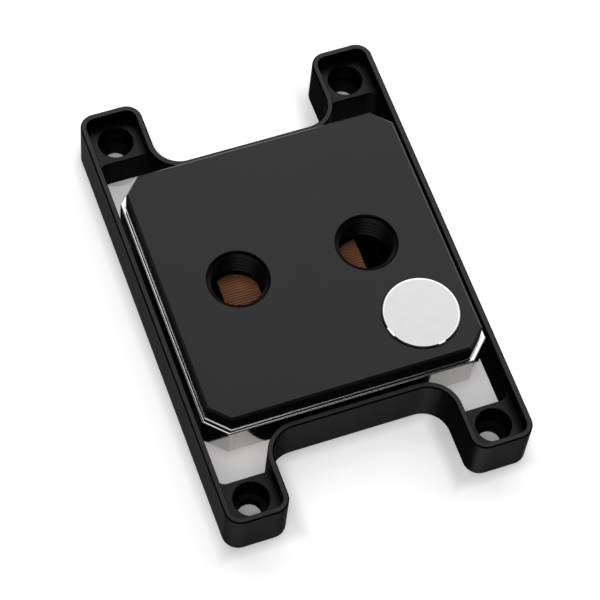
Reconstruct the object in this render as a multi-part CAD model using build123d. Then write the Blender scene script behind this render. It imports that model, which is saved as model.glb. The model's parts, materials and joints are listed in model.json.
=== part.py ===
from build123d import *
import os
from math import cos, radians, sin

# A cpu water block: a black acetal top on a bright metal body, held in an H-shaped mounting bracket.
# Millimetres, +Z up. X runs across the two legs at one end and Y runs along the bracket. The origin is
# the middle of the four mounting holes, at the level of the bracket's underside.

# Ports, cut for a G1/4 thread
port_pitch = 29.0
thread_radius = 6.58        # the thread's major radius
port_lip_radius = 6.0
port_lip_height = 0.9
port_chamfer = 0.3

# Top plate
top_facet = 4.0
top_height = 4.15           # from the body's land to the top face
top_edge_chamfer = 0.45
boss_wall = 1.72            # round the threads, where the boss is thinnest
boss_clearance = 0.2        # between the boss and the opening in the body
boss_depth = 4.85           # how far the boss reaches below the land

# Badge
badge_inset = 11.15         # from two sides of the top plate to the badge's centre
badge_radius = 8.3
badge_gap = 0.25
badge_thickness = 1.7
badge_proud = 0.45
badge_edge_chamfer = 0.2
badge_pad_thickness = 0.4
badge_pad_margin = 0.7      # the pad is this much smaller all round
tab_angles = ((188.0, 207.0), (274.0, 288.0))

# Cold plate
plate_margin = 3.6          # how far the plate reaches past the opening's ends
plate_corner = 3.0
plate_clearance = 0.2       # round the plate, in its recess under the body
plate_recess = 1.0
plate_thickness = 4.0
pocket_depth = 2.2          # of the pocket that the insert's foot sits in
pocket_end_wall = 1.3       # from the pocket to the ends of the opening above it
pocket_side_wall = 2.5
pocket_corner = 5.0
fin_length = 32.0
fin_span = 26.0
fin_height = 0.5            # above the pocket's floor
channel_depth = 1.6
fin_pitch = 0.6
channel_width = 0.28

# Flow plate and flow insert
flow_plate_length = 16.0
flow_plate_thickness = 0.6
window_clearance = 0.2      # between the insert's window and the fins
foot_clearance = 0.2        # between the insert's foot and the pocket
insert_floor = 1.0          # thickness of the foot under a plenum
plenum_end_wall = 1.2
insert_side_wall = 6.1

# Body frame
body_rim = 5.15             # from the cold plate's side to the body's side
body_facet = 4.45
body_underside = 4.4
body_thickness = 8.8
body_edge_round = 0.35
body_edge_chamfer = 0.3     # underneath
body_corner_round = 0.5
ledge_show = 1.1            # width of the ledge round the top plate
land_height = 0.25
land_width = 0.35           # how far the raised land stands out past the top plate
land_edge_round = 0.12
opening_corner = 8.0

# Mounting bracket
hole_pitch_x = 54.0
hole_pitch_y = 90.0
hole_radius = 2.6
counterbore_radius = 3.8
counterbore_floor = 3.0     # height of the metal left under a counterbore
counterbore_break = 0.15
pocket_side_room = 1.8      # from a counterbore to the walls beside it
pocket_end_room = 1.15      # from a counterbore to the wall at the leg's end
bracket_height = 12.65
bracket_wall = 1.3
side_gap = 0.95             # between the body and the bracket's long walls
end_gap = 0.85              # between the body and the bracket's front and back walls
leg_corner_radius = 3.5
waist_corner_radius = 6.0
rim_chamfer = 0.3
rim_inner_break = 0.12
leg_floor_height = 8.85
leg_floor_lip = 0.95        # from a counterbore to its floor's inner edge
leg_floor_outer_corner = 2.2
leg_floor_inner_corner = 1.0

# Ledges inside the bracket that carry the body
ledge_room = 0.3            # from a ledge's edge to the recess for the cold plate
side_ledge_length = 36.0
end_ledge_room = 1.2        # from an end ledge to the curve of the wall it stands on
ledge_corner = 1.5

# Seals
seal_width = 1.5
seal_height = 1.2
seal_round = 0.4
groove_side_room = 0.15
groove_offset = 0.45        # metal or acetal left between the opening and a groove

# Screws
base_screw_inset_x = 3.6    # from the cold plate's sides to the screw
base_screw_inset_y = 4.1
base_screw_radius = 1.5
base_screw_head = 2.8
base_screw_depth = 5.2      # in the body frame
frame_screw_x = 8.0
frame_screw_offset = 4.8    # from the opening to the screw
frame_screw_radius = 1.25
frame_screw_head = 2.1
frame_screw_head_height = 1.5
frame_screw_depth = 3.0     # in the top plate
bracket_screw_inset = 6.0   # from the ends of a side ledge
bracket_screw_radius = 1.0
bracket_screw_head = 1.9
bracket_screw_depth = 5.0   # in the body frame
screw_clearance = 0.15      # round a shank in a plain hole
head_clearance = 0.15       # round a head in its recess
hex_socket = 0.45           # socket radius, as a share of the head's
socket_depth = 0.9

# Heights that follow
plate_top = body_underside + plate_recess
plate_bottom = plate_top - plate_thickness
pocket_floor = plate_top - pocket_depth
fin_top = pocket_floor + fin_height
plenum_floor = pocket_floor + insert_floor
body_top = body_underside + body_thickness
land_top = body_top + land_height
top_face = land_top + top_height
boss_bottom = land_top - boss_depth
badge_floor = top_face + badge_proud - badge_thickness - badge_pad_thickness
frame_head_seat = plate_top + frame_screw_head_height

# Sizes that follow, from the ports outwards
opening_length = port_pitch + 2 * (thread_radius + boss_wall + boss_clearance)
opening_width = fin_span + 2 * (window_clearance + insert_side_wall + boss_clearance)
plate_side = opening_length + 2 * plate_margin
body_side = plate_side + 2 * body_rim
top_side = body_side - 2 * ledge_show
badge_offset = top_side / 2 - badge_inset
pocket_length = opening_length - 2 * pocket_end_wall
pocket_width = opening_width - 2 * pocket_side_wall
foot_length = pocket_length - 2 * foot_clearance
foot_width = pocket_width - 2 * foot_clearance
plenum_inner = flow_plate_length / 2
plenum_outer = foot_length / 2 - plenum_end_wall

# The long walls clear the body, and leave room for the pockets in the legs.
leg_half = counterbore_radius + pocket_side_room + bracket_wall
leg_outer = max(body_side / 2 + side_gap + bracket_wall, hole_pitch_x / 2 + leg_half)
leg_inner = hole_pitch_x / 2 - leg_half
bracket_end = hole_pitch_y / 2 + counterbore_radius + pocket_end_room + bracket_wall
waist = body_side / 2 + end_gap + bracket_wall
floor_edge = hole_pitch_y / 2 - counterbore_radius - leg_floor_lip
ledge_overlap = body_rim - plate_clearance - ledge_room
ledge_inner = body_side / 2 - ledge_overlap
end_ledge_length = 2 * (leg_inner - waist_corner_radius - end_ledge_room)

base_screw_x = plate_side / 2 - base_screw_inset_x
base_screw_y = plate_side / 2 - base_screw_inset_y
frame_screw_y = opening_width / 2 + frame_screw_offset
bracket_screw_x = body_side / 2 - ledge_overlap / 2
bracket_screw_y = side_ledge_length / 2 - bracket_screw_inset


def prism(outline, bottom, top):
    """A flat outline made solid between two heights."""
    return extrude(Pos(0, 0, bottom) * outline, amount=top - bottom)


def rounded(length, width, radius):
    return RectangleRounded(length, width, radius)


def octagon(side, facet):
    square = Rectangle(side, side)
    return chamfer(square.vertices(), facet)


def four_corners(x, y):
    return [(sx * x, sy * y) for sy in (-1, 1) for sx in (-1, 1)]


def drill(x, y, radius, bottom, top):
    return prism(Pos(x, y) * Circle(radius), bottom, top)


def cone(x, y, low_radius, high_radius, bottom):
    """A 90 degree countersink or screw head, wide end down."""
    height = low_radius - high_radius
    middle = bottom + height / 2
    return Pos(x, y, middle) * Cone(low_radius, high_radius, height)


# Mounting bracket

def bracket_outline(inset):
    """The H shape, drawn in by the inset all round."""
    end = bracket_end - inset
    outer = leg_outer - inset
    inner = leg_inner + inset
    middle = waist - inset
    quarter = [(outer, end), (inner, end), (inner, middle)]
    half = quarter + [(-x, y) for x, y in reversed(quarter)]
    points = half + [(-x, -y) for x, y in half]
    shape = make_face(Polyline(*points, close=True).edges())
    leg_corners = [v for v in shape.vertices() if abs(abs(v.Y) - end) < 0.01]
    shape = fillet(leg_corners, leg_corner_radius - inset)
    waist_corners = [v for v in shape.vertices() if is_waist_corner(v, inner, middle)]
    return fillet(waist_corners, waist_corner_radius + inset)


def is_waist_corner(vertex, inner, middle):
    return abs(abs(vertex.X) - inner) < 0.01 and abs(abs(vertex.Y) - middle) < 0.01


def leg_well():
    """The open middle of the bracket, seen from above, as far as the floors of the legs."""
    band = Rectangle(2 * leg_outer, 2 * floor_edge)
    shape = bracket_outline(bracket_wall) & band
    outer_corners = [v for v in floor_corners(shape) if abs(v.X) > hole_pitch_x / 2]
    shape = fillet(outer_corners, leg_floor_outer_corner)
    inner_corners = [v for v in floor_corners(shape) if abs(v.X) < hole_pitch_x / 2]
    straight = abs(floor_edge - waist - waist_corner_radius)
    return fillet(inner_corners, min(leg_floor_inner_corner, straight / 2))


def floor_corners(shape):
    return [v for v in shape.vertices() if abs(abs(v.Y) - floor_edge) < 0.01]


def ledges():
    """Four ledges on the walls' inner faces, which the body stands on."""
    side_reach = leg_outer - bracket_wall / 2 - ledge_inner
    end_reach = waist - bracket_wall / 2 - ledge_inner
    shapes = []
    for side in (-1, 1):
        at_side = Pos(side * (ledge_inner + side_reach / 2), 0)
        at_end = Pos(0, side * (ledge_inner + end_reach / 2))
        shapes.append(at_side * rounded(side_reach, side_ledge_length, ledge_corner))
        shapes.append(at_end * rounded(end_ledge_length, end_reach, ledge_corner))
    return shapes


def face_at(solid, height):
    """The flat face at a height."""
    return [f for f in solid.faces() if abs(f.center().Z - height) < 0.01][0]


def outer_edges(solid, height):
    return face_at(solid, height).outer_wire().edges()


def inner_edges(solid, height):
    return [e for wire in face_at(solid, height).inner_wires() for e in wire.edges()]


def mounting_bracket():
    bracket = prism(bracket_outline(0), 0, bracket_height)
    bracket -= prism(bracket_outline(bracket_wall), leg_floor_height, bracket_height)
    bracket -= prism(leg_well(), 0, bracket_height)
    for ledge in ledges():
        bracket += prism(ledge, 0, body_underside)
    bracket = chamfer(outer_edges(bracket, bracket_height), rim_chamfer)
    bracket = chamfer(inner_edges(bracket, bracket_height), rim_inner_break)
    for x, y in four_corners(hole_pitch_x / 2, hole_pitch_y / 2):
        bracket -= drill(x, y, hole_radius, 0, bracket_height)
        bracket -= drill(x, y, counterbore_radius, counterbore_floor, leg_floor_height)
        wide = counterbore_radius + counterbore_break
        rim = Pos(x, y, leg_floor_height - counterbore_break / 2)
        bracket -= rim * Cone(counterbore_radius, wide, counterbore_break)
    for x, y in four_corners(bracket_screw_x, bracket_screw_y):
        bracket -= drill(x, y, bracket_screw_radius + screw_clearance, 0, body_underside)
        bracket -= cone(x, y, bracket_screw_head + head_clearance, bracket_screw_radius, 0)
    return bracket


# Body frame

def opening(clearance):
    length = opening_length - 2 * clearance
    width = opening_width - 2 * clearance
    return rounded(length, width, opening_corner - clearance)


def seal_band(side_room):
    """The outline of a seal round the opening, or of its groove if there is room at its sides."""
    inner = -groove_offset - groove_side_room + side_room
    outer = inner - seal_width - 2 * side_room
    return opening(outer) - opening(inner)


def body_frame():
    outline = fillet(octagon(body_side, body_facet).vertices(), body_corner_round)
    body = prism(outline, body_underside, body_top)
    body = fillet(outer_edges(body, body_top), body_edge_round)
    body = chamfer(outer_edges(body, body_underside), body_edge_chamfer)
    land = prism(octagon(top_side + 2 * land_width, top_facet + land_width), body_top, land_top)
    body += fillet(outer_edges(land, land_top), land_edge_round)
    recess_side = plate_side + 2 * plate_clearance
    recess = rounded(recess_side, recess_side, plate_corner + plate_clearance)
    body -= prism(recess, body_underside, plate_top)
    body -= prism(opening(0), plate_top, land_top)
    body -= prism(seal_band(groove_side_room), plate_top, plate_top + seal_height)
    for x, y in four_corners(base_screw_x, base_screw_y):
        body -= drill(x, y, base_screw_radius, plate_top, plate_top + base_screw_depth)
    for x, y in four_corners(frame_screw_x, frame_screw_y):
        body -= drill(x, y, frame_screw_radius + screw_clearance, plate_top, land_top)
        body -= drill(x, y, frame_screw_head + head_clearance, plate_top, frame_head_seat)
    for x, y in four_corners(bracket_screw_x, bracket_screw_y):
        body -= drill(x, y, bracket_screw_radius, body_underside, body_underside + bracket_screw_depth)
    return body


# Top plate

def top_plate():
    top = prism(octagon(top_side, top_facet), land_top, top_face)
    top = chamfer(outer_edges(top, top_face), top_edge_chamfer)
    top += prism(opening(boss_clearance), boss_bottom, land_top)
    top -= prism(seal_band(groove_side_room), land_top, land_top + seal_height)
    for side in (-1, 1):
        x = side * port_pitch / 2
        top -= drill(x, 0, port_lip_radius, boss_bottom, top_face)
        top -= drill(x, 0, thread_radius, boss_bottom + port_lip_height, top_face)
        mouth = Pos(x, 0, top_face - port_chamfer / 2)
        top -= mouth * Cone(thread_radius, thread_radius + port_chamfer, port_chamfer)
    recess = badge_radius + badge_gap
    top -= drill(badge_offset, -badge_offset, recess, badge_floor, top_face)
    for x, y in four_corners(frame_screw_x, frame_screw_y):
        top -= drill(x, y, frame_screw_radius, land_top, land_top + frame_screw_depth)
    return top


# Badge and its pad

def tab_sector(start, stop):
    """A short stretch of the ring that bridges the badge's gap, between two angles."""
    radius = badge_radius + badge_gap
    reach = 2 * radius
    points = [(0, 0)]
    for angle in (start, stop):
        points.append((reach * cos(radians(angle)), reach * sin(radians(angle))))
    wedge = make_face(Polyline(*points, close=True).edges())
    return Circle(radius) & wedge


def badge():
    bottom = badge_floor + badge_pad_thickness
    top = bottom + badge_thickness
    outline = Circle(badge_radius)
    for start, stop in tab_angles:
        outline += tab_sector(start, stop)
    disc = prism(outline, bottom, top)
    disc = chamfer(outer_edges(disc, top), badge_edge_chamfer)
    return Pos(badge_offset, -badge_offset) * disc


def badge_pad():
    top = badge_floor + badge_pad_thickness
    return drill(badge_offset, -badge_offset, badge_radius - badge_pad_margin, badge_floor, top)


# Cold plate and its flow parts

def cold_plate():
    plate = prism(rounded(plate_side, plate_side, plate_corner), plate_bottom, plate_top)
    plate -= prism(rounded(pocket_length, pocket_width, pocket_corner), pocket_floor, plate_top)
    plate += prism(Rectangle(fin_length, fin_span), pocket_floor, fin_top)
    count = int((fin_span - (fin_pitch - channel_width)) / fin_pitch)
    channels = []
    for index in range(count):
        y = (index - (count - 1) / 2) * fin_pitch
        channels.append(Pos(0, y) * Rectangle(fin_length, channel_width))
    plate -= prism(Sketch() + channels, fin_top - channel_depth, fin_top)
    for x, y in four_corners(base_screw_x, base_screw_y):
        plate -= drill(x, y, base_screw_radius + screw_clearance, plate_bottom, plate_top)
        plate -= cone(x, y, base_screw_head + head_clearance, base_screw_radius, plate_bottom)
    return plate


def flow_plate():
    return prism(Rectangle(flow_plate_length, fin_span), fin_top, fin_top + flow_plate_thickness)


def flow_insert():
    insert = prism(opening(boss_clearance), plate_top, boss_bottom)
    foot = rounded(foot_length, foot_width, pocket_corner - foot_clearance)
    insert += prism(foot, pocket_floor, plate_top)
    length = fin_length + 2 * window_clearance
    width = fin_span + 2 * window_clearance
    insert -= prism(Rectangle(flow_plate_length, width), pocket_floor, fin_top + flow_plate_thickness)
    for side in (-1, 1):
        window_room = length / 2 - plenum_inner
        window = Pos(side * (plenum_inner + window_room / 2), 0)
        insert -= prism(window * Rectangle(window_room, width), pocket_floor, plenum_floor)
        plenum_room = plenum_outer - plenum_inner
        plenum = Pos(side * (plenum_inner + plenum_room / 2), 0)
        insert -= prism(plenum * Rectangle(plenum_room, width), plenum_floor, boss_bottom)
    return insert


# Seals

def seal(bottom):
    ring = prism(seal_band(0), bottom, bottom + seal_height)
    flat = [e for f in ring.faces() if abs(f.normal_at().Z) > 0.9 for e in f.edges()]
    return fillet(flat, seal_round)


# Screws

def hex_cut(radius, bottom, depth):
    return prism(RegularPolygon(radius, 6), bottom, bottom + depth)


def countersunk_screw(x, y, bottom, top, radius, head):
    """A flat-headed screw, head down, from the head's face up to its tip."""
    screw = prism(Circle(radius), bottom, top)
    screw += cone(0, 0, head, radius, bottom)
    screw -= hex_cut(head * hex_socket, bottom, socket_depth)
    return Pos(x, y) * screw


def pan_screw(x, y, bottom, top):
    """A screw with a low round head, head down."""
    screw = prism(Circle(frame_screw_radius), bottom, top)
    screw += prism(Circle(frame_screw_head), bottom, bottom + frame_screw_head_height)
    screw -= hex_cut(frame_screw_head * hex_socket, bottom, socket_depth)
    return Pos(x, y) * screw


def write(shape, name):
    export_step(shape, "parts/" + name + ".step")


os.makedirs("parts", exist_ok=True)

write(mounting_bracket(), "mounting_bracket")
write(body_frame(), "body_frame")
write(top_plate(), "top_plate")
write(cold_plate(), "cold_plate")
write(flow_plate(), "flow_plate")
write(flow_insert(), "flow_insert")
write(seal(land_top), "top_seal")
write(seal(plate_top), "base_seal")
write(badge(), "badge")
write(badge_pad(), "badge_pad")

places = four_corners(base_screw_x, base_screw_y)
for number, (x, y) in enumerate(places, start=1):
    tip = plate_top + base_screw_depth
    screw = countersunk_screw(x, y, plate_bottom, tip, base_screw_radius, base_screw_head)
    write(screw, f"base_screw_{number}")

places = four_corners(frame_screw_x, frame_screw_y)
for number, (x, y) in enumerate(places, start=1):
    write(pan_screw(x, y, plate_top, land_top + frame_screw_depth), f"frame_screw_{number}")

places = four_corners(bracket_screw_x, bracket_screw_y)
for number, (x, y) in enumerate(places, start=1):
    tip = body_underside + bracket_screw_depth
    screw = countersunk_screw(x, y, 0, tip, bracket_screw_radius, bracket_screw_head)
    write(screw, f"bracket_screw_{number}")
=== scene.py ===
import json
import math

import bpy
from mathutils import Matrix, Vector


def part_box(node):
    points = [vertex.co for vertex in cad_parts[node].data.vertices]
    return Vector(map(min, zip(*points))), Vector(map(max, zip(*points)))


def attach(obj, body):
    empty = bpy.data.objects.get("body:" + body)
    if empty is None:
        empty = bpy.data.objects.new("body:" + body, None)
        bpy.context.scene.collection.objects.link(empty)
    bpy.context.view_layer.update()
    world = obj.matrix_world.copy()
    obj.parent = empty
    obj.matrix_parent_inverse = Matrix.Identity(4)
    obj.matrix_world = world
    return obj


# The looks of a cpu water block. Metres, in the part's own frame: X across a pair of legs, Y along the
# mounting bracket, Z up out of the ports.

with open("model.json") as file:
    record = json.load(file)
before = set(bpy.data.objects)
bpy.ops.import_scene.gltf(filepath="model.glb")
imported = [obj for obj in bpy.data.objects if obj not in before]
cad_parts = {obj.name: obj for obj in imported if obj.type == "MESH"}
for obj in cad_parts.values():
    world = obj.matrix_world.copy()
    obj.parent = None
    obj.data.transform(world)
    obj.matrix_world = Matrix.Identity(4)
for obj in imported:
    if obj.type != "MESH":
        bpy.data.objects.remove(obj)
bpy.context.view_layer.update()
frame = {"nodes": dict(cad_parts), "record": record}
bpy.ops.object.select_all(action="DESELECT")

MM = 0.001

# What the frame says about the ports, the mounting holes and the outsides of two pieces
mounts = {mount["name"]: mount for mount in frame["record"]["mounts"]}
port = mounts["port_right"]
leg_holes = mounts["leg_holes"]["dims"]
bracket_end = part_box("mounting_bracket")[1]
body_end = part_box("body_frame")[1]

# Ports, for a G1/4 thread
PORT_X = port["pos_m"][0]
BORE_RADIUS = port["dims"]["r_mm"] * MM
PORT_CHAMFER = 0.3 * MM
THREAD_DEPTH = 0.76 * MM
THREAD_PITCH = 1.337 * MM
THREAD_TURNS = 5
THREAD_TOP_ROOM = 0.55 * MM
RIDGE_FOOT = 0.98 * THREAD_PITCH    # width of the ridge where it leaves the bore
CREST_SHARE = 0.16                  # width of its crest, as a share of its foot
STEPS_A_TURN = 64
THREAD_CREASE = 30                  # degrees, beyond which an edge stays sharp
PORT_CUT_REACH = BORE_RADIUS + PORT_CHAMFER
PORT_CUT_SHEEN = 0.35               # as a share of the top face's sheen

# Mounting bracket
HOLE_X = leg_holes["spacing_x_mm"] / 2 * MM
HOLE_Y = leg_holes["spacing_y_mm"] / 2 * MM
COUNTERBORE_REACH = 3.85 * MM
FACING_IN = 8 * MM                  # a wall that lies this far out, along the way it faces, faces in
FACING_OUT = 28 * MM
RIM_DEPTH = 1.65 * MM               # of the bracket, only the rim comes this near its top
RIM_HEIGHT = bracket_end.z - RIM_DEPTH

# Badge
BADGE_RIM = 7.95 * MM
BADGE_RIM_SOFTNESS = 0.12 * MM
RING_SCALE = 5000                   # of the fine rings that it is turned in

# How far a surface's normal points up or down, where a mask of level surfaces starts and where it is full
LEVEL_OR_BEVELLED = (0.35, 0.55)
DEAD_LEVEL = (0.8, 0.95)

# Grain
GRAIN_ROUGHNESS = 0.6
GRAIN_DARKEST = 0.28                # the noise seldom leaves these two
GRAIN_LIGHTEST = 0.72

# Where the photograph was taken from
CAMERA_PLACE = Vector((-0.122561, -0.244301, 0.506489))
CAMERA_FORWARD = Vector((0.213781, 0.424036, -0.880052))
CAMERA_UP = Vector((0.271595, 0.839562, 0.470502))
CAMERA_LENS = 158.41
SENSOR_WIDTH = 36
CLIP_START = 0.01

# Studio: a floor that turns up into a low wall all round, a large soft light behind, and a small one
# overhead that fills the shadows
FLOOR_DROP = 0.0001
FLOOR_RADIUS = 2.6
FLOOR_CORNERS = 96
FLOOR_CREASE = 40
COVE_RADIUS = 0.4
COVE_STEPS = 8
NEAR_FLOOR = 0.15                   # distance from the middle, up to which the floor has its near glow
FAR_FLOOR = 1.2
NEAR_GLOW = 0.5
FAR_GLOW = 1.0
SHINE_GLOW = 0.25                   # glow of the floor as shiny surfaces see it
SHADE_WIDTH = 2.8 * MM              # of the soft edge round the shadow painted under the part
WAIST_FROM_BODY = 2.15 * MM         # the gap and the wall in front of the body, and behind it
WAIST_HALF_LENGTH = body_end.y + WAIST_FROM_BODY
LEG_SHADE_REACH = 9 * MM            # from a mounting hole to where the shadow painted under its leg starts inwards
LEG_SHADE_START = HOLE_X - LEG_SHADE_REACH
PAINTED_SHADOW_UNDER_PART = 0.55                   # share of the glow that is left under the part: a painted shadow
HOLE_SHADE_REACH = 6 * MM
HOLE_SHADE = 0.45                   # share of that which is left under the mounting holes: a further painted shadow
LIGHT_DISTANCE = 1.0
MAIN_TOWARDS = (0.34, 0.674, 0.656)
MAIN_WIDTH = 2.4
MAIN_DEPTH = 1.2
MAIN_RADIANCE = 1.7
FILL_TOWARDS = (-0.22, -0.35, 0.91)
FILL_SIDE = 0.8
FILL_RADIANCE = 1.7
SKY = 0.05


# Shader node helpers

def add_node(tree, kind, **settings):
    made = tree.nodes.new("ShaderNode" + kind)
    for name, value in settings.items():
        setattr(made, name, value)
    return made


def feed(tree, value, socket):
    """Links another node's output to a socket, or gives the socket a plain value."""
    if isinstance(value, bpy.types.NodeSocket):
        tree.links.new(value, socket)
    else:
        socket.default_value = value


def chain(tree, start, *steps):
    """Runs a value through one node after another, each by its first input and first output."""
    for step in steps:
        tree.links.new(start, step.inputs[0])
        start = step.outputs[0]


def new_group(name, inputs, output):
    """A shader node group with one output, and its named inputs: each is a name, a kind and a default."""
    tree = bpy.data.node_groups.new(name, "ShaderNodeTree")
    for label, kind, default in inputs:
        socket = tree.interface.new_socket(label, in_out="INPUT", socket_type="NodeSocket" + kind)
        if default is not None:
            socket.default_value = default
    tree.interface.new_socket(output, in_out="OUTPUT", socket_type="NodeSocketFloat")
    start = tree.nodes.new("NodeGroupInput")
    end = tree.nodes.new("NodeGroupOutput")
    return tree, start.outputs, end.inputs[output]


def grain_group():
    """Fine grain, stretched along one axis: cutter marks, brushing or moulded texture."""
    tree, given, result = new_group("grain", [
        ("Vector", "Vector", None), ("Stretch", "Vector", (1, 1, 1)), ("Scale", "Float", 100.0),
        ("Detail", "Float", 3.0), ("Low", "Float", 0.0), ("High", "Float", 1.0)], "Value")
    stretch = add_node(tree, "VectorMath", operation="MULTIPLY")
    noise = add_node(tree, "TexNoise", noise_dimensions="3D")
    spread = add_node(tree, "MapRange", clamp=True)
    feed(tree, given["Vector"], stretch.inputs[0])
    feed(tree, given["Stretch"], stretch.inputs[1])
    feed(tree, stretch.outputs["Vector"], noise.inputs["Vector"])
    feed(tree, given["Scale"], noise.inputs["Scale"])
    feed(tree, given["Detail"], noise.inputs["Detail"])
    feed(tree, GRAIN_ROUGHNESS, noise.inputs["Roughness"])
    feed(tree, noise.outputs[0], spread.inputs["Value"])
    feed(tree, GRAIN_DARKEST, spread.inputs["From Min"])
    feed(tree, GRAIN_LIGHTEST, spread.inputs["From Max"])
    feed(tree, given["Low"], spread.inputs["To Min"])
    feed(tree, given["High"], spread.inputs["To Max"])
    feed(tree, spread.outputs["Result"], result)
    return tree


def level_group():
    """1 where a surface lies level, and 0 where it stands upright. What lies between Low and High is
    blended."""
    low, high = LEVEL_OR_BEVELLED
    tree, given, result = new_group("level", [
        ("Normal", "Vector", None), ("Low", "Float", low), ("High", "Float", high)], "Mask")
    parts = add_node(tree, "SeparateXYZ")
    upward = add_node(tree, "Math", operation="ABSOLUTE")
    spread = add_node(tree, "MapRange", clamp=True)
    feed(tree, given["Normal"], parts.inputs[0])
    feed(tree, parts.outputs["Z"], upward.inputs[0])
    feed(tree, upward.outputs["Value"], spread.inputs["Value"])
    feed(tree, given["Low"], spread.inputs["From Min"])
    feed(tree, given["High"], spread.inputs["From Max"])
    feed(tree, spread.outputs["Result"], result)
    return tree


def bores_group():
    """0 in the upright bores at Centre and at its mirror images, as far round as Reach, and 1 elsewhere."""
    tree, given, result = new_group("outside bores", [
        ("Vector", "Vector", None), ("Centre", "Vector", (0, 0, 0)), ("Reach", "Float", MM)], "Mask")
    mirrored = add_node(tree, "VectorMath", operation="ABSOLUTE")
    flat = add_node(tree, "VectorMath", operation="MULTIPLY")
    offset = add_node(tree, "VectorMath", operation="DISTANCE")
    beyond = add_node(tree, "Math", operation="GREATER_THAN")
    feed(tree, (1, 1, 0), flat.inputs[1])
    chain(tree, given["Vector"], mirrored, flat, offset)
    feed(tree, given["Centre"], offset.inputs[1])
    feed(tree, offset.outputs["Value"], beyond.inputs[0])
    feed(tree, given["Reach"], beyond.inputs[1])
    feed(tree, beyond.outputs["Value"], result)
    return tree


GRAIN = grain_group()
LEVEL = level_group()
BORES = bores_group()


class Finish:
    """One material and the nodes that its detail is made of. Its masks, values and colours are outputs of
    those nodes."""

    def __init__(self, name, base, roughness, metallic=0.0):
        self.material = bpy.data.materials.new(name)
        self.material.use_nodes = True
        self.tree = self.material.node_tree
        self.shader = self.tree.nodes["Principled BSDF"]
        self.set(Base_Color=(*base, 1), Roughness=roughness, Metallic=metallic)
        self.place = add_node(self.tree, "TexCoord").outputs

    def set(self, **values):
        for name, value in values.items():
            self.shader.inputs[name.replace("_", " ")].default_value = value

    def use(self, output, socket):
        self.tree.links.new(output, self.shader.inputs[socket])

    def put(self, group, **values):
        """Places a shared group in this material, with its own values."""
        made = add_node(self.tree, "Group", node_tree=group)
        for name, value in values.items():
            feed(self.tree, value, made.inputs[name])
        return made.outputs[0]

    def grain(self, scale, stretch=(1, 1, 1), low=0.0, high=1.0, detail=3.0):
        return self.put(GRAIN, Vector=self.place["Object"], Stretch=stretch, Scale=scale, Detail=detail,
                        Low=low, High=high)

    def level(self, between=LEVEL_OR_BEVELLED):
        """1 on level surfaces, and 0 on upright ones, such as walls and bores."""
        low, high = between
        return self.put(LEVEL, Normal=self.place["Normal"], Low=low, High=high)

    def outside_bores(self, x, y, reach):
        """0 in the upright bores at x, y and at its mirror images, as far round as reach, and 1 elsewhere."""
        return self.put(BORES, Vector=self.place["Object"], Centre=(x, y, 0), Reach=reach)

    def ramp(self, value, start, end, **settings):
        """0 up to start, 1 from end on, and a slope between them."""
        made = add_node(self.tree, "MapRange", clamp=True, **settings)
        for name, given in (("Value", value), ("From Min", start), ("From Max", end)):
            feed(self.tree, given, made.inputs[name])
        return made

    def facing_out(self):
        """1 on walls that face away from the middle of the part, and 0 on walls that face it. The hollow
        corners between them lie in between."""
        flat = add_node(self.tree, "VectorMath", operation="MULTIPLY")
        along = add_node(self.tree, "VectorMath", operation="DOT_PRODUCT")
        feed(self.tree, self.place["Object"], flat.inputs[0])
        feed(self.tree, (1, 1, 0), flat.inputs[1])
        feed(self.tree, flat.outputs["Vector"], along.inputs[0])
        feed(self.tree, self.place["Normal"], along.inputs[1])
        return self.ramp(along.outputs["Value"], FACING_IN, FACING_OUT).outputs["Result"]

    def above(self, height):
        """1 higher up than a height, and 0 below it."""
        parts = add_node(self.tree, "SeparateXYZ")
        feed(self.tree, self.place["Object"], parts.inputs[0])
        return self.math("GREATER_THAN", parts.outputs["Z"], height)

    def math(self, operation, first, second):
        made = add_node(self.tree, "Math", operation=operation)
        feed(self.tree, first, made.inputs[0])
        feed(self.tree, second, made.inputs[1])
        return made.outputs["Value"]

    def mix(self, data_type, kind, mask, low, high):
        """A value or colour that runs from low to high as the mask goes from 0 to 1."""
        made = add_node(self.tree, "Mix", data_type=data_type)
        feed(self.tree, mask, made.inputs["Factor"])
        for name, value in (("A", low), ("B", high)):
            socket = [s for s in made.inputs if s.name == name and s.type == kind][0]
            feed(self.tree, value, socket)
        return [s for s in made.outputs if s.type == kind][0]

    def lerp(self, mask, low, high):
        return self.mix("FLOAT", "VALUE", mask, low, high)

    def blend(self, mask, low, high):
        low, high = ((*c, 1) if isinstance(c, tuple) else c for c in (low, high))
        return self.mix("RGBA", "RGBA", mask, low, high)

    def bump(self, height, distance):
        made = add_node(self.tree, "Bump")
        feed(self.tree, distance, made.inputs["Distance"])
        feed(self.tree, 1.0, made.inputs["Strength"])
        feed(self.tree, height, made.inputs["Height"])
        self.use(made.outputs["Normal"], "Normal")


def grained(name, base, roughness, metallic, marks, colours, relief, sheen=None):
    """A plain finish. Marks are its grain, which blends the two colours and stands out by relief. Sheen is
    the grain of its roughness, where that varies."""
    finish = Finish(name, base, roughness, metallic)
    grain = finish.grain(**marks)
    finish.use(finish.blend(grain, *colours), "Base Color")
    if sheen:
        finish.use(finish.grain(**sheen), "Roughness")
    finish.bump(grain, relief)
    return finish.material


# Finishes

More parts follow.
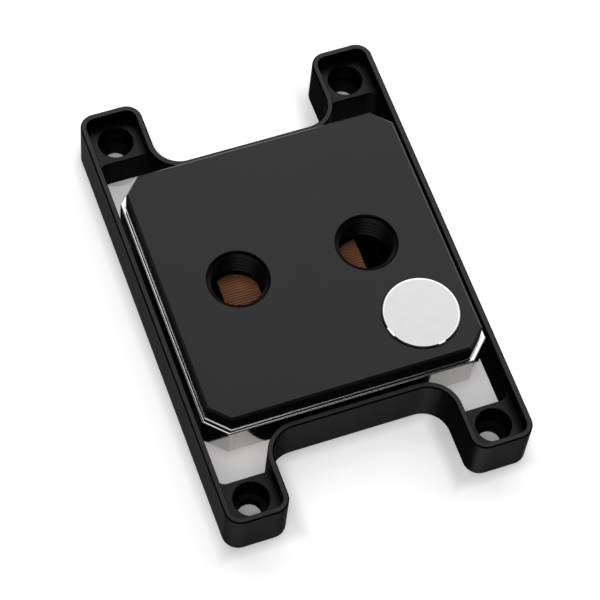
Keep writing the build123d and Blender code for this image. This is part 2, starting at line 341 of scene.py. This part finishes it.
def anodised_black():
    """Black anodised aluminium. Cutter marks run up its walls, and its pockets and counterbores are dull. Its
    colour holds painted light and shade: walls that face away from the middle are lighter than walls that
    face it and the counterbores, level faces below the rim are darker than the rim, and the bevels are near
    black, a painted dark reflection."""
    finish = Finish("anodised_black", (0.042, 0.042, 0.042), 0.26, metallic=1.0)
    finish.set(Specular_Tint=(0.25, 0.25, 0.25, 1))
    streaks = finish.grain(900, stretch=(1, 1, 0.03))
    fine = finish.grain(4200, detail=2)
    streak_share, fine_share = 0.7, 0.3
    marks = finish.math("ADD", finish.math("MULTIPLY", streaks, streak_share),
                        finish.math("MULTIPLY", fine, fine_share))
    # Counterbores count as walls facing the middle and take their darker colour: painted shade.
    clear = finish.outside_bores(HOLE_X, HOLE_Y, COUNTERBORE_REACH)
    show = finish.math("MULTIPLY", finish.facing_out(), clear)
    level = finish.math("MULTIPLY", finish.level(), clear)

    # Walls facing away from the middle are lighter and walls facing it darker: painted light and shade.
    outward_painted_light = finish.blend(marks, (0.068, 0.068, 0.069), (0.074, 0.074, 0.075))
    inward_painted_shade = finish.blend(marks, (0.018, 0.018, 0.018), (0.022, 0.022, 0.022))
    # Level faces below the rim are darker than the rim, painted shade in the leg pockets; the bevels are near
    # black, a painted dark reflection.
    pocket_floors_painted_shade = finish.blend(marks, (0.018, 0.018, 0.018), (0.021, 0.021, 0.021))
    rim = finish.blend(marks, (0.028, 0.028, 0.0285), (0.032, 0.032, 0.0325))
    bevels = finish.blend(marks, (0.005, 0.005, 0.005), (0.007, 0.007, 0.007))
    flats = finish.blend(finish.above(RIM_HEIGHT), pocket_floors_painted_shade, rim)
    tops = finish.blend(finish.level(DEAD_LEVEL), bevels, flats)
    walls = finish.blend(show, inward_painted_shade, outward_painted_light)
    finish.use(finish.blend(level, walls, tops), "Base Color")

    dull = 0.5
    sheen = finish.grain(500, stretch=(1, 1, 0.05), low=0.36, high=0.4)
    finish.use(finish.lerp(finish.math("MAXIMUM", show, level), dull, sheen), "Roughness")
    finish.bump(marks, 0.0015 * MM)
    return finish.material


def milled_acetal():
    """Black acetal. Its faced top and bevels have a fine sheen, and its sides and bores are matte."""
    finish = Finish("milled_acetal", (0.002, 0.002, 0.0021), 0.7)
    finish.set(Specular_IOR_Level=0.02, Coat_Roughness=0.34, Coat_IOR=1.37)
    cloud = finish.grain(60, detail=2)
    finish.use(finish.blend(cloud, (0.0012, 0.0012, 0.0013), (0.0018, 0.0018, 0.0019)), "Base Color")
    finish.use(finish.grain(140, low=0.6, high=0.8), "Roughness")
    faced = finish.lerp(finish.outside_bores(PORT_X, 0, PORT_CUT_REACH), PORT_CUT_SHEEN,
                        finish.grain(90, low=0.94, high=1.0))
    finish.use(finish.math("MULTIPLY", finish.level(), faced), "Coat Weight")
    finish.bump(finish.grain(3500, detail=2), 0.006 * MM)
    return finish.material


def satin_silver():
    """The badge: satin silver, turned in fine rings, with a smoother polished rim whose lighter colour is a
    painted highlight.
    """
    finish = Finish("satin_silver", (0.54, 0.54, 0.54), 0.34, metallic=1.0)
    low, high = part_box("badge")
    centre = (low + high) / 2
    from_centre = add_node(finish.tree, "VectorMath", operation="SUBTRACT")
    distance = add_node(finish.tree, "VectorMath", operation="LENGTH")
    feed(finish.tree, finish.place["Object"], from_centre.inputs[0])
    feed(finish.tree, (centre.x, centre.y, high.z), from_centre.inputs[1])
    feed(finish.tree, from_centre.outputs["Vector"], distance.inputs[0])
    radius = distance.outputs["Value"]
    rim = finish.ramp(radius, BADGE_RIM - BADGE_RIM_SOFTNESS, BADGE_RIM).outputs["Result"]
    rings = add_node(finish.tree, "TexNoise", noise_dimensions="1D")
    for name, value in (("W", radius), ("Scale", RING_SCALE), ("Detail", 2)):
        feed(finish.tree, value, rings.inputs[name])
    face = finish.blend(rings.outputs[0], (0.5, 0.5, 0.5), (0.56, 0.56, 0.56))
    # The rim's lighter colour is a painted highlight; its lower roughness below is its polish.
    finish.use(finish.blend(rim, face, (0.66, 0.66, 0.66)), "Base Color")
    polished = 0.2
    finish.use(finish.lerp(rim, finish.grain(500, low=0.3, high=0.38), polished), "Roughness")
    finish.bump(rings.outputs[0], 0.002 * MM)
    return finish.material


def polished_nickel():
    """Nickel plating over milled metal."""
    return grained("polished_nickel", base=(0.6, 0.595, 0.585), roughness=0.08, metallic=1.0,
                   marks=dict(scale=1500, stretch=(1, 1, 0.05)), relief=0.001 * MM,
                   colours=((0.57, 0.565, 0.555), (0.63, 0.625, 0.615)),
                   sheen=dict(scale=300, low=0.05, high=0.11))


def machined_copper():
    """Bare copper with lapping marks."""
    return grained("machined_copper", base=(0.92, 0.53, 0.31), roughness=0.7, metallic=1.0,
                   marks=dict(scale=1200, stretch=(0.05, 1, 1)), relief=0.004 * MM,
                   colours=((0.88, 0.49, 0.27), (0.96, 0.57, 0.35)),
                   sheen=dict(scale=500, low=0.66, high=0.76))


def cut_stainless():
    return grained("cut_stainless", base=(0.55, 0.55, 0.54), roughness=0.32, metallic=1.0,
                   marks=dict(scale=1400, stretch=(1, 0.05, 1)), relief=0.006 * MM,
                   colours=((0.5, 0.5, 0.49), (0.6, 0.6, 0.59)),
                   sheen=dict(scale=400, low=0.26, high=0.4))


def machined_steel():
    return grained("machined_steel", base=(0.42, 0.42, 0.43), roughness=0.28, metallic=1.0,
                   marks=dict(scale=2500, detail=2), relief=0.008 * MM,
                   colours=((0.36, 0.36, 0.37), (0.5, 0.5, 0.51)),
                   sheen=dict(scale=800, low=0.2, high=0.36))


def soft_rubber():
    return grained("soft_rubber", base=(0.016, 0.016, 0.016), roughness=0.75, metallic=0.0,
                   marks=dict(scale=1800, detail=2), relief=0.01 * MM,
                   colours=((0.012, 0.012, 0.012), (0.022, 0.022, 0.022)))


def foam_pad():
    return grained("foam_pad", base=(0.05, 0.05, 0.05), roughness=0.9, metallic=0.0,
                   marks=dict(scale=2500, detail=2), relief=0.03 * MM,
                   colours=((0.03, 0.03, 0.03), (0.08, 0.08, 0.08)))


def dress_cad_nodes():
    """Every node of the frame keeps its shape and takes the finish of its material slot."""
    made = {
        "black_anodised": anodised_black(),
        "bright_nickel": polished_nickel(),
        "black_acetal": milled_acetal(),
        "bare_copper": machined_copper(),
        "stainless_sheet": cut_stainless(),
        "seal_rubber": soft_rubber(),
        "badge_silver": satin_silver(),
        "adhesive_foam": foam_pad(),
        "screw_steel": machined_steel(),
    }
    for part in frame["record"]["subparts"]:
        for holder in frame["nodes"][part["node"]].material_slots:
            holder.material = made[part["material_slot"]]
    return made


# Modelling helpers

def deselect():
    if bpy.context.object and bpy.context.object.mode != "OBJECT":
        bpy.ops.object.mode_set(mode="OBJECT")
    bpy.ops.object.select_all(action="DESELECT")


def select_where(piece, test):
    """In edit mode, selects the vertices whose place passes the test."""
    bpy.ops.mesh.select_all(action="DESELECT")
    bpy.ops.object.mode_set(mode="OBJECT")
    for vertex in piece.data.vertices:
        vertex.select = test(vertex.co)
    bpy.ops.object.mode_set(mode="EDIT")
    bpy.ops.mesh.select_mode(type="VERT")


def settle(piece, name, finish):
    """Puts a finished piece's place into its mesh, and gives it its finish and its body."""
    deselect()
    piece.select_set(True)
    bpy.context.view_layer.objects.active = piece
    bpy.ops.object.transform_apply(location=True, rotation=True, scale=True)
    piece.name = name
    piece.data.name = name
    piece.data.materials.clear()
    piece.data.materials.append(finish)
    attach(piece, "root")
    deselect()


def port_thread(name, x, finish):
    """The thread in a port: one ridge that winds down the bore. Its section is drawn first, as an outline
    that is wide at the bore and narrow at the crest, and is then wound up."""
    deselect()
    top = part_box("top_plate")[1].z - THREAD_TOP_ROOM
    start = top - THREAD_TURNS * THREAD_PITCH
    middle = BORE_RADIUS - THREAD_DEPTH / 2
    bpy.ops.mesh.primitive_plane_add(size=1, location=(x, 0, start), rotation=(math.pi / 2, 0, 0))
    ridge = bpy.context.object
    bpy.ops.object.transform_apply(location=False, rotation=True, scale=True)
    bpy.ops.object.mode_set(mode="EDIT")
    bpy.ops.transform.resize(value=(THREAD_DEPTH, 1, RIDGE_FOOT))
    bpy.ops.transform.translate(value=(middle, 0, 0))
    select_where(ridge, lambda place: place.x < middle)
    bpy.ops.transform.resize(value=(1, 1, CREST_SHARE))
    bpy.ops.mesh.select_all(action="SELECT")
    bpy.ops.mesh.delete(type="ONLY_FACE")
    bpy.ops.object.mode_set(mode="OBJECT")
    turns = ridge.modifiers.new("turns", "SCREW")
    turns.axis = "Z"
    turns.angle = 2 * math.pi
    turns.screw_offset = THREAD_PITCH
    turns.iterations = THREAD_TURNS
    turns.steps = turns.render_steps = STEPS_A_TURN
    turns.use_merge_vertices = False
    bpy.ops.object.modifier_apply(modifier=turns.name)

    # The two open ends are closed
    bpy.ops.object.mode_set(mode="EDIT")
    bpy.ops.mesh.select_all(action="DESELECT")
    bpy.ops.mesh.select_mode(type="EDGE")
    bpy.ops.mesh.select_non_manifold()
    bpy.ops.mesh.fill()
    bpy.ops.mesh.select_all(action="SELECT")
    bpy.ops.mesh.normals_make_consistent(inside=False)
    bpy.ops.object.mode_set(mode="OBJECT")
    bpy.ops.object.shade_smooth_by_angle(angle=math.radians(THREAD_CREASE))
    settle(ridge, name, finish)


# Studio

def away_from_part(finish):
    """How far a place on the floor lies outside an H that is as wide and long as the part, with somewhat
    wider legs. Below 0 is inside."""
    mirrored = add_node(finish.tree, "VectorMath", operation="ABSOLUTE")
    parts = add_node(finish.tree, "SeparateXYZ")
    chain(finish.tree, finish.place["Object"], mirrored, parts)
    x, y = parts.outputs["X"], parts.outputs["Y"]
    side = finish.math("SUBTRACT", x, bracket_end.x)
    middle = finish.math("MAXIMUM", side, finish.math("SUBTRACT", y, WAIST_HALF_LENGTH))
    between_legs = finish.math("SUBTRACT", LEG_SHADE_START, x)
    leg_end = finish.math("SUBTRACT", y, bracket_end.y)
    legs = finish.math("MAXIMUM", finish.math("MAXIMUM", side, between_legs), leg_end)
    return finish.math("MINIMUM", middle, legs)


def pale_floor():
    """Pale floor. It glows where the camera sees it, fully far away and less close to the part. Under the
    part, round its edge and under the mounting holes the glow is turned down further, a painted shadow. It
    glows a little where a shiny surface sees it."""
    finish = Finish("pale_floor", (0.88, 0.88, 0.88), 0.9)
    finish.set(Specular_IOR_Level=0.2, Emission_Color=(1, 1, 1, 1))
    distance = add_node(finish.tree, "VectorMath", operation="LENGTH")
    feed(finish.tree, finish.place["Object"], distance.inputs[0])
    glow = finish.ramp(distance.outputs["Value"], NEAR_FLOOR, FAR_FLOOR, interpolation_type="SMOOTHSTEP")
    feed(finish.tree, NEAR_GLOW, glow.inputs["To Min"])
    feed(finish.tree, FAR_GLOW, glow.inputs["To Max"])
    # The glow is turned down under the part, just round its edge and under the mounting holes: a painted
    # shadow.
    shade = finish.ramp(away_from_part(finish), 0.0, SHADE_WIDTH)
    feed(finish.tree, PAINTED_SHADOW_UNDER_PART, shade.inputs["To Min"])
    painted_shadow_in_holes = finish.lerp(finish.outside_bores(HOLE_X, HOLE_Y, HOLE_SHADE_REACH), HOLE_SHADE, 1.0)
    painted_shadows = finish.math("MULTIPLY", shade.outputs["Result"], painted_shadow_in_holes)
    seen = finish.math("MULTIPLY", glow.outputs["Result"], painted_shadows)
    path = add_node(finish.tree, "LightPath").outputs
    by_eye = finish.math("MULTIPLY", path["Is Camera Ray"], seen)
    shiny = finish.math("MAXIMUM", path["Is Glossy Ray"], path["Is Transmission Ray"])
    by_shine = finish.math("MULTIPLY", shiny, SHINE_GLOW)
    finish.use(finish.math("MAXIMUM", by_eye, by_shine), "Emission Strength")
    return finish.material


def floor():
    """A round floor whose edge curves up into a low wall."""
    deselect()
    bpy.ops.mesh.primitive_circle_add(vertices=FLOOR_CORNERS, radius=FLOOR_RADIUS, fill_type="NGON",
                                      location=(0, 0, -FLOOR_DROP))
    ground = bpy.context.object
    ground.name = "floor"
    bpy.ops.object.mode_set(mode="EDIT")
    bpy.ops.mesh.select_mode(type="EDGE")
    bpy.ops.mesh.select_all(action="SELECT")
    reach = FLOOR_RADIUS
    for step in range(COVE_STEPS):
        before = step / COVE_STEPS * math.pi / 2
        after = (step + 1) / COVE_STEPS * math.pi / 2
        rise = COVE_RADIUS * (math.cos(before) - math.cos(after))
        wider = reach + COVE_RADIUS * (math.sin(after) - math.sin(before))
        bpy.ops.mesh.select_all(action="DESELECT")
        bpy.ops.mesh.select_non_manifold(extend=False, use_wire=False, use_multi_face=False,
                                         use_non_contiguous=False, use_verts=False)
        bpy.ops.mesh.extrude_edges_move(TRANSFORM_OT_translate={"value": (0, 0, rise)})
        bpy.ops.transform.resize(value=(wider / reach, wider / reach, 1))
        reach = wider
    bpy.ops.object.mode_set(mode="OBJECT")
    bpy.ops.object.shade_smooth_by_angle(angle=math.radians(FLOOR_CREASE))
    ground.data.materials.append(pale_floor())
    deselect()


def sky():
    """Plain dim light from all round."""
    world = bpy.data.worlds.new("studio")
    bpy.context.scene.world = world
    world.use_nodes = True
    light = world.node_tree.nodes["Background"]
    light.inputs["Color"].default_value = (1, 1, 1, 1)
    light.inputs["Strength"].default_value = SKY


def softbox(name, direction, width, depth, radiance):
    """A wide soft light that faces the object from one direction, as bright as the radiance says."""
    towards = Vector(direction).normalized()
    bpy.ops.object.light_add(type="AREA", location=towards * LIGHT_DISTANCE)
    lamp = bpy.context.object
    lamp.name = name
    lamp.data.shape = "RECTANGLE"
    lamp.data.size = width
    lamp.data.size_y = depth
    lamp.data.energy = radiance * math.pi * width * depth
    lamp.rotation_mode = "QUATERNION"
    lamp.rotation_quaternion = (-towards).to_track_quat("-Z", "Y")
    deselect()


def camera():
    data = bpy.data.cameras.new("camera")
    data.lens = CAMERA_LENS
    data.sensor_width = SENSOR_WIDTH
    data.clip_start = CLIP_START
    view = bpy.data.objects.new("camera", data)
    bpy.context.scene.collection.objects.link(view)
    backward = -CAMERA_FORWARD.normalized()
    right = CAMERA_UP.cross(backward).normalized()
    up = backward.cross(right)
    turn = Matrix((right, up, backward)).transposed().to_4x4()
    view.matrix_world = Matrix.Translation(CAMERA_PLACE) @ turn
    bpy.context.scene.camera = view


finishes = dress_cad_nodes()
port_thread("thread_left", -PORT_X, finishes["black_acetal"])
port_thread("thread_right", PORT_X, finishes["black_acetal"])

camera()
floor()
sky()
softbox("main", MAIN_TOWARDS, MAIN_WIDTH, MAIN_DEPTH, MAIN_RADIANCE)
softbox("fill", FILL_TOWARDS, FILL_SIDE, FILL_SIDE, FILL_RADIANCE)

bpy.context.scene.view_settings.view_transform = "Standard"
